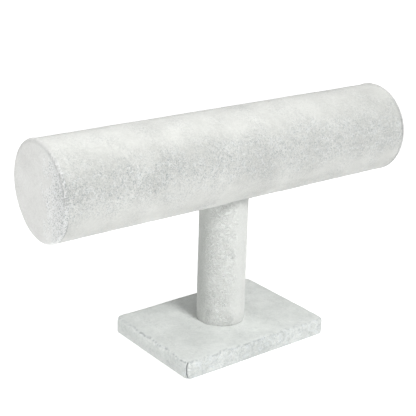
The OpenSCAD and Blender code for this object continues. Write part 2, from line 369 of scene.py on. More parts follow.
def base_pile(points, normals, from_seam, opening):
    """Height of the base's pile over its form, and its marks."""
    x, y, z = points.T
    level = points * LEVEL
    left_side, front_side = smooth(-normals[:, 0]), smooth(-normals[:, 1])
    side = slope(z, *SIDE_STARTS)
    front = side * front_side

    line = BASE_TOP - RUB_DEPTH - RUB_WANDER * waves(level, *RUB_WAVE)
    edge = slope(np.abs(z - line), *RUB_BAND) * (np.abs(normals[:, 2]) < STEEP)
    nicks = waves(level, *NICK_WAVE) + NICK_DRIFT * waves(points, *NICK_DRIFT_WAVE)
    nicked = edge * slope(nicks, *BASE_NICKS)
    rubbed = RUB_LEAST + left_side * slope(y, *RUB_LEFT) + front_side * slope(x, *RUB_FRONT)
    opened = np.maximum(rubbed * nicked, opening * hill(from_seam, *SEAM_PARTED))
    rise = relief(points, BASE_SEED) - opening * (roll(from_seam, SEAM_ROLL) - lip(from_seam)) - RUB_DENT * nicked

    beside = opening * hill(from_seam, *SEAM_SIDES)
    worn = slope(x, *FRONT_CRUSHED_LEFT) + hill(x, *FRONT_CRUSHED_MIDDLE)
    crushed = TOP_CRUSHED + SIDE_CRUSHED * side + worn * front
    crushed = crushed + PATCH_CRUSHED * smooth(waves(points, *PATCH_WAVE))
    crushed = np.minimum(crushed + SEAM_CRUSHED * beside + RUB_CRUSHED * edge, 1)

    clouds = sum(strength * waves(points, length, seed) for strength, length, seed in TOP_CLOUDS)
    # Painted light on the top towards its right and back, and random clouds on the top
    nap_and_shade = slope(x, *TOP_PAINTED_LIGHT_X) * slope(y, *TOP_PAINTED_LIGHT_Y) + clouds * (1 - side)
    lumps = slope(waves(points, *LUMP_WAVE), *LUMPS)
    below = side * hill(z - line, *LUMPS_BELOW)
    nap_and_shade = nap_and_shade - LUMPS_LIGHT * lumps * np.maximum(beside, below * rubbed)
    strength, long, short = FRONT_STREAKS
    streaks = long * waves(points * STREAK_STRETCH, *LONG_STREAKS) + short * waves(points, *SHORT_STREAKS)
    nap_and_shade = nap_and_shade + front * (hill(x, *FRONT_DARK_MIDDLE) + strength * streaks)
    return kept_down(rise, z < HEM_Z + UNDERSIDE), (opened, crushed, nap_and_shade)


def base_cover():
    """Velvet over the base: a cross-shaped sheet, its flaps turned under and butted at the corners."""
    profile = base_profile()
    passed = distance_along(profile)
    lines_x, lines_y = (graded(2 * (half - CORNER_R), *BASE_STEPS) - (half - CORNER_R) for half in (BASE_X, BASE_Y))
    x, y = np.meshgrid(lines_x, lines_y)
    middle = np.stack([x, y, np.full(x.shape, BASE_TOP)], -1)
    blocks = [(middle, np.zeros(middle.shape) + [0, 0, 1], np.full(x.shape, FAR), 0 * x, np.stack([x, y], -1))]
    sides = [(lines_x, BASE_X, BASE_Y), (lines_y, BASE_Y, BASE_X)] * 2
    blocks += [base_flap(number, *side, profile, passed) for number, side in enumerate(sides)]
    nets, start = [], 0
    for block in blocks:
        net = numbered(*block[2].shape, start)
        nets.append(net[::-1] if nets else net)
        start += net.size
    lists = [np.concatenate([b[k].reshape(-1, *b[k].shape[2:]) for b in blocks]) for k in range(5)]

    # The blocks share the points on their common edges
    places = np.round(lists[0] / SAME_PLACE).astype(np.int64)
    _, first, same = np.unique(places, axis=0, return_index=True, return_inverse=True)
    nets = [same.ravel()[net] for net in nets]
    points, normals, from_seam, opening, flat = (values[first] for values in lists)
    rise, marks = base_pile(points, normals, from_seam, opening)
    thick = (points * normals).sum(-1) - board_reach(normals) - GLUE
    return add_sheet("velvet_base_cover", points, normals, rise, thick, nets, flat, marks)


# Post cover: its end turned under the foot, and points on that part of its section. Cloth is turning, and then
# turned and thinned, where its normal looks back along the piece by these shares
POST_TURN_T = 0.6 * MM
POST_TURN_W = 6 * MM
POST_TURN_HIDDEN = 0.5 * MM
FOOT_POINTS = 6
RING_POINTS = 8
TURNED_SHARE = 0.9
TURNING = -0.1
TURNED = -0.5

# Its pile, crushed on a strip down the side that looks this way, and parted along the seam and at the foot. Painted
# shade darkens its back, its right side and its top under the bar, and painted light lightens the strip, the foot and
# its lower part
POST_SEED = 21
FOOT_WAVE = (2.6 * MM, 23)
STRIP_WAVE = (7 * MM, 27)
STRIP_PATCH_WAVE = (14 * MM, 25)
STRIP_AZIMUTH = math.radians(-44)
STRIP_WAY = np.array([math.sin(STRIP_AZIMUTH), -math.cos(STRIP_AZIMUTH)])
STRIP = (0.7, 0.26)
STRIP_WANDER = 0.06
STRIP_CRUSHED = 0.7
STRIP_PAINTED_LIGHT = 0.26
STRIP_PATCHES = 0.15
POST_CRUSHED = 0.1
FOOT = (BASE_TOP + 1.5 * MM, -1.5 * MM)
FOOT_NICKS = (0.2, 1.1)
FOOT_PARTED = 0.15
FOOT_CALM = 0.3
FOOT_PAINTED_LIGHT = 0.5
POST_SEAM_PARTED = (0, 0.8 * MM, 0.85)
POST_BACK_SHADE = (-0.6, 0.6, 0.9)
POST_RIGHT_SHADE = (0.1, 0.4, 0.2)
POST_LOW_PAINTED_LIGHT = (34 * MM, -18 * MM, 0.75)
POST_TOP_SHADE = (45 * MM, 20 * MM, 0.15)
POST_LIGHT = 0.05


def post_profile():
    """Section of the post cover from its top to the end of the ring turned under: radius, height and normal."""
    foot = POST_TURN_T
    down = graded(post_high.z - BASE_TOP - foot, *POST_STEPS_UP)
    ring = np.linspace(0, POST_TURN_W + POST_TURN_HIDDEN, RING_POINTS)[1:]
    return np.concatenate([
        stretch(POST_R, post_high.z - down, 1, 0),
        arc((POST_R - foot, BASE_TOP + foot), (foot, foot), (0, -1), FOOT_POINTS)[1:],
        stretch(POST_R - foot - ring, BASE_TOP, 0, -1),
    ])


def post_pile(points, normals, from_seam):
    """Height of the post's pile over its form, and its marks."""
    x, y, z = points.T
    rise = relief(points, POST_SEED) - roll(from_seam, SEAM_ROLL) + lip(from_seam)
    foot = slope(z, *FOOT)
    nicks = slope(waves(points, *FOOT_WAVE), *FOOT_NICKS)
    opened = np.maximum(foot * nicks * FOOT_PARTED, hill(from_seam, *POST_SEAM_PARTED))
    facing = unit(points[:, :2]) @ STRIP_WAY + STRIP_WANDER * waves(points, *STRIP_WAVE)
    strip = slope(facing, *STRIP)
    patches = STRIP_PATCHES * smooth(waves(points, *STRIP_PATCH_WAVE))
    crushed = POST_CRUSHED + strip * (STRIP_CRUSHED * (1 - FOOT_CALM * foot) + patches)
    # Painted shade on the back, the right side and up under the bar; painted light on the strip, at the foot and low
    # down, with a slight lightening all over
    dark = slope(y / POST_R, *POST_BACK_SHADE) + slope(x / POST_R, *POST_RIGHT_SHADE)
    dark = dark + slope(z, *POST_TOP_SHADE) * (1 - strip)
    light = POST_LIGHT + STRIP_PAINTED_LIGHT * strip + FOOT_PAINTED_LIGHT * foot + slope(z, *POST_LOW_PAINTED_LIGHT)
    return kept_down(rise, normals[:, 2] < TURNING), (opened, crushed, dark - light)


def post_cover():
    """Velvet sleeve of the post, with its seam behind and its lower end turned under the foot."""
    profile = post_profile()
    around = graded(TURN * POST_R - SEAM_GAP, *POST_STEPS_ROUND)
    angle = (around + SEAM_GAP / 2) / POST_R
    radius, height, out, up = (profile[:, k, None, None] for k in range(4))
    way = np.stack([np.sin(angle), np.cos(angle)], -1)[None]
    shape = (len(profile), len(angle), 1)
    points = np.concatenate([radius * way, np.broadcast_to(height, shape)], -1)
    normals = np.concatenate([out * way, np.broadcast_to(up, shape)], -1)
    flat = np.stack(np.broadcast_arrays(around[None], -distance_along(profile)[:, None]), -1)
    points, normals, flat = listed(points, normals, flat)
    from_seam = np.broadcast_to(np.minimum(around, around[-1] - around)[None], shape[:2]).ravel()
    thick = np.where(normals[:, 2] < TURNED, POST_TURN_T * TURNED_SHARE, CLOTH)
    rise, marks = post_pile(points, normals, from_seam)
    return add_sheet("velvet_post_cover", points, normals, rise, thick, [numbered(*shape[:2])], flat, marks)


# Bar cover: points across its hole, its edges, and its pile, parted beside the seam and the hole, and dark at the end
# caps, where parted pile carries painted shade in the gap
NOTCH_POINTS = 41
HOLE_ROLL = 0.7 * MM
BAR_SEED = 31
BAR_FRONT_WAVE = (6 * MM, 38)
BAR_PATCH_WAVE = (18 * MM, 35)
BAR_CLOUD_WAVE = (26 * MM, 37)
BAR_SEAM_PARTED = 1.1 * MM
HOLE_PARTED = 1.3 * MM
END_PARTED_AND_SHADE = 0.7 * MM
END_SHADE_RIGHT = (0.8, -0.3, 0.8, 0.05)
END_SHADE_LEFT = (-0.1, -0.5, 0.9, 0.05)

# It is crushed in front, round this height, and held at this one near the left end. Heights are in radii of the bar
FRONT_HEIGHT = 0.18
FRONT_BAND = (0.6875, -0.55)
BAR_CRUSHED = 0.24
BAR_FRONT_CRUSHED = 0.68
BAR_FRONT_PATCHES = 0.14
BAR_PATCHES = 0.12
HELD_PLACE = (-BAR_END, 9 * MM, 0.4)
HELD_HEIGHT = (-0.05, 0.3)

# Painted shade in stripes along it, where the lamps graze its front: a hill by the angle over the horizon in degrees,
# and a slope along the bar
BAR_FRONT_SHADE = (22, 30, 0.85)
BAR_RIGHT_SHADE = (40 * MM, 70 * MM, 0.4, 1)
BAR_SHADE_STRIPES = (
    ((-14, 20, 0.3), (-40 * MM, 40 * MM)),
    ((54, 18, 0.4), (60 * MM, 40 * MM)),
)
BAR_CLOUDS = 0.1
BAR_LIGHT = 0.1


def bar_pile(points, from_seam, from_hole, from_end):
    """Height of the bar's pile over its form, and its marks."""
    x, y, z = points.T
    height = (z - BAR_Z) / BAR_R
    in_front = y < 0
    drop = np.maximum(roll(from_seam, SEAM_ROLL), roll(from_hole, HOLE_ROLL))
    drop = np.maximum(drop, roll(from_end, CAP_BACK_R))
    near = np.minimum(from_seam / BAR_SEAM_PARTED, from_hole / HOLE_PARTED)
    # Painted shade in the gap at the caps, drawn as parted pile: low down on the left end, nearly all the way up on
    # the right
    shaded = np.where(x > 0, slope(height, *END_SHADE_RIGHT), slope(height, *END_SHADE_LEFT))
    opened = np.maximum(hill(near, 0, 1), shaded * hill(from_end, 0, END_PARTED_AND_SHADE))

    front = slope(np.abs(height - FRONT_HEIGHT), *FRONT_BAND) * in_front
    held = hill(x, *HELD_PLACE) * hill(height, *HELD_HEIGHT) * in_front
    rough = BAR_FRONT_CRUSHED + BAR_FRONT_PATCHES * waves(points, *BAR_FRONT_WAVE)
    crushed = BAR_CRUSHED + front * rough + BAR_PATCHES * waves(points, *BAR_PATCH_WAVE) + held

    # Painted shade: a band along the front, deeper to the right, and stripes above and below it; then random clouds,
    # and lighter over the front half
    upward = np.degrees(np.arctan2(z - BAR_Z, -y))
    nap_and_shade = hill(upward, *BAR_FRONT_SHADE) * slope(x, *BAR_RIGHT_SHADE)
    for stripe, along in BAR_SHADE_STRIPES:
        nap_and_shade = nap_and_shade + hill(upward, *stripe) * slope(x, *along)
    nap_and_shade = nap_and_shade + (BAR_CLOUDS * waves(points, *BAR_CLOUD_WAVE) - BAR_LIGHT) * in_front
    rise = relief(points, BAR_SEED) + lip(from_seam) - drop
    return rise, (opened, np.clip(crushed, 0, 1), nap_and_shade)


def bar_cover():
    """Velvet round the bar, butted along the underside, with a hole for the post halfway."""
    arm = graded(BAR_END - HOLE_R, *BAR_STEPS_ALONG)
    notch = HOLE_R * np.sin(np.linspace(-QUARTER, QUARTER, NOTCH_POINTS))
    x = np.concatenate([-BAR_END + arm, notch[1:-1], HOLE_R + arm])
    share = graded(TURN * BAR_R, *BAR_STEPS_ROUND) / (TURN * BAR_R)
    net = numbered(len(share), len(x))
    inside = np.sqrt(np.clip(HOLE_R**2 - x**2, 0, None))
    edge = np.maximum(np.arcsin(inside / BAR_R), SEAM_GAP / 2 / BAR_R)
    angle = edge[None] + share[:, None] * (TURN - 2 * edge[None])
    x, angle = np.broadcast_to(x[None], angle.shape).ravel(), angle.ravel()
    normals = np.stack([0 * angle, -np.sin(angle), -np.cos(angle)], -1)
    points = normals * BAR_R + np.stack([x, 0 * x, 0 * x + BAR_Z], -1)
    flat = np.stack([x, angle * BAR_R], -1)
    from_hole = np.where(points[:, 2] < BAR_Z, np.hypot(x, points[:, 1]) - HOLE_R, FAR)
    from_seam = np.where(np.abs(x) > HOLE_R, np.minimum(angle, TURN - angle) * BAR_R - SEAM_GAP / 2, FAR)
    rise, marks = bar_pile(points, from_seam, from_hole, BAR_END - np.abs(x))
    return add_sheet("velvet_bar_cover", points, normals, rise, CLOTH, [net], flat, marks)


# End caps: their edges, the ring turned behind, and points on each stretch of their section
CAP_EDGE_R = 1.75 * MM
CAP_BACK_R = 0.22 * MM
CAP_TURN_T = 0.3 * MM
CAP_TURN_W = 8 * MM
CAP_FACE_POINTS = 43
CAP_FACE_GROWTH = 1.12
CAP_EDGE_POINTS = 10
CAP_BACK_POINTS = 6

# Their pile, parted along the rim, with dark specks, partly painted shade, where the rim faces the lamps, and crushed
# in a crescent in front, less on the right one, which carries a painted sheen. The rim carries a painted highlight,
# and painted shade on its upper part. Heights, and distances to the front, are in radii of the cap
CAP_SEED = 41
SPECK_WAVE = 1.4 * MM
RIM_WAVE = 4 * MM
CRESCENT_WAVE = 5 * MM
CRESCENT_STRETCH = (1, 1, 0.4)
CAP_SWELLS = 0.25 * MM
RIM = (CAP_R - 0.8 * MM, 1.5 * MM)
RIM_PARTED = 0.06
RIM_LIT_Y = (0.2, 0.4)
RIM_LIT_Z = (-0.3, 0.4)
RIM_SPECKS = (-0.2, 0.9, 0.42, 0.1)
RIM_WAVES = 0.06
UPPER_RIM = (-0.25, 0.4)
UPPER_CALM = 0.5
UPPER_RIM_SHADE = 1.5
RIM_HIGHLIGHT = 0.5
CAP_DARK = 0.05
CAP_CRUSHED = 0.1
CRESCENT = (0.15, 0.35)
CRESCENT_STREAKS = 0.12
CRESCENT_RIGHT = 0.7
CRESCENT_TOP = (0.85, -0.25)
CRESCENT_FOOT = (-0.9, 0.3, 0.75, 0.25)
CRESCENT_OUTSIDE = (0.6, 0.3, 0.12, 0.68)
CRESCENT_PAINTED_SHEEN = 1.2
HEART_Y = (0.45, 0.35, 0.2)
HEART_HEIGHT = 0.05
HEART_BAND = (0.63, -0.45)


def cap_profile():
    """Section of an end cap's cover from its centre to the turned ring's end: radius, distance back and normal."""
    thick = CAP_END - BAR_END
    face_r = CAP_R - CAP_EDGE_R
    back_r = CAP_R - CAP_BACK_R
    face = 1 - (1 - np.linspace(0, 1, CAP_FACE_POINTS)[:-1]) ** CAP_FACE_GROWTH
    ring = np.linspace(0, CAP_TURN_W, RING_POINTS)[1:]
    return np.concatenate([
        stretch(face_r * face, 0, 0, 1),
        arc((face_r, CAP_EDGE_R), (CAP_EDGE_R, -CAP_EDGE_R), (1, 0), CAP_EDGE_POINTS),
        arc((back_r, thick - CAP_BACK_R), (CAP_BACK_R, -CAP_BACK_R), (0, -1), CAP_BACK_POINTS)[1:],
        stretch(back_r - ring, thick, 0, -1),
    ])


def cap_pile(points, normals, radius, side):
    """Height of a cap's pile over its form, and its marks."""
    seed = CAP_SEED + side
    is_left = side < 0
    forward = -points[:, 1] / CAP_R
    height = (points[:, 2] - BAR_Z) / CAP_R
    rise = kept_down(relief(points, seed), normals[:, 0] * side < TURNING)

    rim = hill(radius, *RIM)
    # Dark specks of parted pile where the rim faces the lamps, partly painted shade that dims its highlight
    lit = slope(forward, *RIM_LIT_Y) * slope(height, *RIM_LIT_Z)
    specks = slope(waves(points, SPECK_WAVE, seed + 6), *RIM_SPECKS)
    opened = RIM_PARTED + lit * specks + RIM_WAVES * waves(points, RIM_WAVE, seed + 2)

    streaks = CRESCENT_STREAKS * waves(points * CRESCENT_STRETCH, CRESCENT_WAVE, seed + 4)
    crescent = slope(forward + streaks, *CRESCENT) * (1 if is_left else CRESCENT_RIGHT)
    crescent = crescent * slope(height, *CRESCENT_TOP) * slope(height, *CRESCENT_FOOT)
    heart = slope(forward, *HEART_Y) * slope(np.abs(height - HEART_HEIGHT), *HEART_BAND) * is_left
    upper = rim * slope(height, *UPPER_RIM)
    crushed = (CAP_CRUSHED + crescent) * (slope(radius / CAP_R, *CRESCENT_OUTSIDE) + heart)
    crushed = crushed * (1 - UPPER_CALM * upper)
    # Painted highlight along the rim and painted sheen on the crescent, with painted shade on the rim's upper part
    light = RIM_HIGHLIGHT * rim + CRESCENT_PAINTED_SHEEN * np.clip(crushed - CAP_CRUSHED, 0, 1) * (1 - upper)
    nap_and_shade = CAP_DARK + UPPER_RIM_SHADE * upper - light
    return np.minimum(rise, CAP_SWELLS), (rim * opened, np.clip(crushed, 0, 1), nap_and_shade)


def end_cover(side):
    """Velvet over the card disc at one end of the bar, turned behind its edge; side is -1 or 1 along the bar."""
    profile = cap_profile()
    rings = len(profile) - 1
    a, b = np.meshgrid(np.arange(-rings, rings + 1), np.arange(-rings, rings + 1))
    ring = np.maximum(np.abs(a), np.abs(b))
    slant = np.where(np.abs(a) >= np.abs(b), b / np.maximum(np.abs(a), 1), a / np.maximum(np.abs(b), 1)) * EIGHTH
    sideways = np.where(a >= 0, slant, TURN / 2 - slant)
    upward = np.where(b >= 0, QUARTER - slant, -QUARTER + slant)
    angle = np.where(np.abs(a) >= np.abs(b), sideways, upward)
    radius, back, out, front = (profile[ring][..., k] for k in range(4))
    way = np.stack([np.cos(angle), np.sin(angle)], -1)
    points = np.stack([side * (CAP_END - back), radius * way[..., 0], BAR_Z + radius * way[..., 1]], -1)
    normals = np.stack([side * front, out * way[..., 0], out * way[..., 1]], -1)
    points, normals, flat = listed(points, normals, distance_along(profile)[ring][..., None] * way)
    thick = np.where(normals[:, 0] * side < TURNED, CAP_TURN_T * TURNED_SHARE, CLOTH)
    rise, marks = cap_pile(points, normals, radius.ravel(), side)
    net = numbered(*ring.shape)
    name, net = ("velvet_end_cover_left", net.T) if side < 0 else ("velvet_end_cover_right", net)
    return add_sheet(name, points, normals, rise, thick, [net], flat, marks)


# Felt backing: its thickness, its rim under the hem, its corners outside and at the hem's window, the screw's hole,
# the bends of its step, and its points on a corner, on a side and on each stretch of its section
FELT_T = 0.4 * MM
FELT_RIM = 10.45 * MM
FELT_CORNER_R = 3.5 * MM
FELT_WINDOW_R = 2.55 * MM
FELT_HOLE_R = 6.5 * MM
FELT_BENDS = (0.3 * MM, 0.45 * MM)
FELT_RELIEF = 0.012 * MM
FELT_WAVE = 6 * MM
FELT_SEED = 51
FELT_CORNER_POINTS = 12
FELT_SIDE_POINTS = 40
FELT_INSIDE_POINTS = 24
FELT_BEND_POINTS = 7
FELT_RIM_POINTS = 13
FELT_WINDOW = felt_high.x - FELT_RIM


def rounded_path(half_x, half_y, radius):
    """Points round a rectangle with round corners, and the way out at each; the last is the first again."""
    places, ways = [], []
    share = np.linspace(0, 1, FELT_SIDE_POINTS + 1)[:-1, None]
    corners = [(1, 1), (-1, 1), (-1, -1), (1, -1)]
    sides = [(-1, 0), (0, -1), (1, 0), (0, 1)]
    for k, (corner, side) in enumerate(zip(corners, sides)):
        turn = (k + np.linspace(0, 1, FELT_CORNER_POINTS + 1)) * QUARTER
        way = np.stack([np.cos(turn), np.sin(turn)], -1)
        bend = np.array(corner) * (half_x - radius, half_y - radius) + radius * way
        length = 2 * ((half_x if k % 2 == 0 else half_y) - radius)
        places += [bend[:-1], bend[-1] + share * length * np.array(side)]
        ways += [way[:-1], np.repeat(way[-1:], FELT_SIDE_POINTS, 0)]
    return tuple(np.concatenate([*parts, parts[0][:1]]) for parts in (places, ways))


def felt_profile():
    """Section of the felt's lower face past the hole: place along X, height and normal; up inside the hem's window."""
    high = felt_high.z - FELT_T
    inner, outer = FELT_BENDS
    rim = np.linspace(0, FELT_RIM - outer, FELT_RIM_POINTS)[1:]
    return np.concatenate([
        arc((FELT_WINDOW - inner, high - inner), (-inner, -inner), (-1, -2), FELT_BEND_POINTS),
        arc((FELT_WINDOW + outer, outer), (outer, outer), (-2, -1), FELT_BEND_POINTS),
        stretch(FELT_WINDOW + outer + rim, 0, 0, -1),
    ])


def felt_backing():
    """Felt under the base: on the hem all round, and pressed up to the board inside it, with a hole for the screw."""
    profile = felt_profile()
    longer = felt_high.x - felt_high.y
    first, _ = rounded_path(profile[0, 0], profile[0, 0] - longer, FELT_WINDOW_R)
    points, normals = [], []
    for share in np.linspace(0, 1, FELT_INSIDE_POINTS)[:-1]:
        ring = FELT_HOLE_R * unit(first) * (1 - share) + first * share
        points.append(np.column_stack([ring, np.full(len(ring), profile[0, 1])]))
        normals.append(np.zeros((len(ring), 3)) + [0, 0, -1])
    for place, height, out, up in profile:
        radius = FELT_WINDOW_R + (place - FELT_WINDOW) / FELT_RIM * (FELT_CORNER_R - FELT_WINDOW_R)
        ring, way = rounded_path(place, place - longer, max(radius, FELT_WINDOW_R))
        points.append(np.column_stack([ring, np.full(len(ring), height)]))
        normals.append(np.column_stack([out * way, np.full(len(ring), up)]))
    net = numbered(len(points), len(first))
    net[:, -1] = net[:, 0]
    points, normals = np.concatenate(points), np.concatenate(normals)
    rise = -FELT_RELIEF * (1 + np.clip(waves(points, FELT_WAVE, FELT_SEED), -1, 1))
    marks = np.zeros((len(MARKS), len(points)))
    return add_sheet("felt_backing", points, normals, rise, FELT_T, [net], points[:, :2], marks)


def srgb(red, green, blue):
    """A colour written as a screen shows it, from 0 to 255, in the linear form that shaders take."""
    parts = (c / 255 for c in (red, green, blue))
    return tuple(c / 12.92 if c <= 0.04045 else ((c + 0.055) / 1.055) ** 2.4 for c in parts) + (1.0,)


class Shader:
    """Short calls for the nodes of a material or of the world."""

    def __init__(self, owner):
        owner.use_nodes = True
        self.owner = owner
        self.tree = owner.node_tree

    def node(self, kind, **settings):
        made = self.tree.nodes.new(kind)
        for name, value in settings.items():
            setattr(made, name, value)
        return made

    def feed(self, socket, value):
        if isinstance(value, bpy.types.NodeSocket):
            self.tree.links.new(value, socket)
        else:
            socket.default_value = value

    def fed(self, made, **values):
        """The node, with its sockets of these names fed; a name's spaces are written as underscores."""
        for name, value in values.items():
            self.feed(made.inputs[name.replace("_", " ")], value)
        return made

    def joined(self, kind, *values, **settings):
        """The first output of a new node that takes its values in order."""
        made = self.node(kind, **settings)
        for socket, value in zip(made.inputs, values):
            self.feed(socket, value)
        return made.outputs[0]

    def math(self, operation, *values, clamp=False):
        return self.joined("ShaderNodeMath", *values, operation=operation, use_clamp=clamp)

    def weighted(self, parts, total=0.0):
        for value, weight in parts:
            total = self.math("MULTIPLY_ADD", value, weight, total)
        return total

    def tone(self, parts):
        """A weighted sum, kept from 0 to 1."""
        return self.math("ADD", self.weighted(parts), 0.0, clamp=True)

    def scaled(self, vector, scale, shift=(0, 0, 0)):
        return self.fed(self.node("ShaderNodeMapping"), Vector=vector, Scale=scale, Location=shift).outputs[0]

    def noise(self, vector, size, detail=2.0, roughness=0.5, distortion=0.0, shift=None):
        vector = self.scaled(vector, (1, 1, 1), shift) if shift else vector
        made = self.node("ShaderNodeTexNoise")
        self.fed(made, Vector=vector, Scale=1 / size, Detail=detail, Roughness=roughness, Distortion=distortion)
        return made.outputs["Fac"]

    def dimples(self, vector, size):
        return self.fed(self.node("ShaderNodeTexVoronoi"), Vector=vector, Scale=1 / size).outputs["Distance"]

    def mark(self, name):
        return self.node("ShaderNodeAttribute", attribute_name=name).outputs["Fac"]

    def cloth(self):
        return self.node("ShaderNodeUVMap", uv_map="cloth").outputs["UV"]

    def place(self):
        """Coordinates fixed to the piece, in metres."""
        return self.node("ShaderNodeTexCoord").outputs["Object"]

    def ramp(self, value, low, high, results=(0.0, 1.0)):
        made = self.node("ShaderNodeMapRange", interpolation_type="SMOOTHSTEP")
        self.fed(made, Value=value, From_Min=low, From_Max=high, To_Min=results[0], To_Max=results[1])
        return made.outputs["Result"]

    def mix(self, factor, a, b, kind="RGBA"):
        return self.fed(self.node("ShaderNodeMix", data_type=kind), Factor=factor, A=a, B=b).outputs["Result"]

    def bump(self, height, distance, strength=1.0):
        return self.fed(self.node("ShaderNodeBump"), Strength=strength, Distance=distance, Height=height).outputs[0]

    def finished(self, **values):
        """The material, with its surface set."""
        self.fed(self.tree.nodes["Principled BSDF"], **values)
        return self.owner


def new_shader(name):
    """Nodes of a new material."""
    return Shader(bpy.data.materials.new(name))


# Noises of the velvet's pile: size, detail, roughness, distortion and shift. The flecks' size is in the look
CLOUD = (22 * MM, 2.5, 0.55, 0.3)
PATCH = (5 * MM, 3.0, 0.6, 1.2)
GRAIN = (1.7 * MM, 3.0, 0.65, 1.0)
TUFT = (0.55 * MM, 1.0)
FLECK = (3.0, 0.7, 1.6, (0.07, 0.02, 0))
FURROW = (2.2 * MM, 0.5, 0.5, 1.2, (0.13, 0.05, 0))
BLOTCH = (3.5 * MM, 2.0, 0.5, 0.8, (0.03, 0.11, 0))

# How the noises turn into tones: their weights, and the values between which flecks, blotches and furrows set in
CLOUD_WEIGHT = 1.4
PATCH_WEIGHT = 1.1
WORMS_CALM = 0.72
SMOOTH_TONE = 0.5
CRUSHED_TONE = 0.4
NAP_AND_SHADE_TONE = 0.5
FURROW_HALF = 0.13
VALLEY_SHADE_AT = (0.75, 1.0)
DARK_FLECKS_AT = (0.51, 0.64)
LIGHT_FLECKS_AT = (0.46, 0.34)
LEAST_FLECKS = 0.02
BLOTCHES_CRUSHED = (0.3, 0.85)
LIGHT_BLOTCHES_AT = (0.5, 0.64)
DARK_BLOTCHES_AT = (0.45, 0.34)
# Strengths of the painted highlight on the worms' ridges and of the painted shade in their valleys
RIDGE_HIGHLIGHT_STRENGTH = 0.32
VALLEY_SHADE_STRENGTH = 0.15
OPENED_AT = (0.25, 0.55)
OPENED_STRENGTH = 0.75

LIGHT_FLECK = srgb(247, 249, 250)
DARK_FLECK = srgb(152, 160, 163)
LIGHT_BLOTCH = srgb(229, 235, 238)
DARK_BLOTCH = srgb(190, 197, 199)
# Painted highlight on the worms' ridges and painted shade in their valleys
RIDGE_HIGHLIGHT = srgb(246, 252, 249)
VALLEY_SHADE = srgb(156, 164, 160)
OPENED = srgb(116, 122, 127)

# Relief of the pile by those noises, and how much calmer the finer ones are where the pile lies in worms
PATCH_RELIEF = 0.7
GRAIN_RELIEF = 1.1
FLECK_RELIEF = -0.5
TUFT_RELIEF = 0.25
WORMS_PLAIN = 0.8
LEAST_RELIEF = 0.3
CRUSHED_RELIEF = 0.7

# Look of each velvet cover. Crushed pile on the post lies in worms, and elsewhere in flecks and blotches
LOOKS = {
    "velvet_base": dict(
        dark=srgb(202, 206, 203), light=srgb(235, 238, 235), shift=(0.0, 0.0, 0.0),
        dark_flecks=0.55, light_flecks=0.4, blotches=0.4, dotted=0.1, size=1.1 * MM,
    ),
    "velvet_post": dict(
        dark=srgb(201, 204, 200), light=srgb(243, 244, 241), shift=(0.4, 0.1, 0.0),
        dark_flecks=0.16, light_flecks=0.16, dotted=0.3, size=1.3 * MM, worms=1.0, depth=0.46 * MM,
    ),
    "velvet_bar": dict(
        dark=srgb(199, 200, 196), light=srgb(232, 233, 229), shift=(0.8, 0.3, 0.0),
        dark_flecks=0.83, light_flecks=0.5, blotches=0.2, dotted=0.16, size=0.95 * MM,
    ),
    "velvet_cap": dict(
        dark=srgb(212, 212, 209), light=srgb(244, 245, 242), shift=(1.3, 0.6, 0.0),
        dark_flecks=0.85, light_flecks=1.3, dotted=0.5, size=0.8 * MM,
    ),
}
PILE_DEPTH = 0.6 * MM


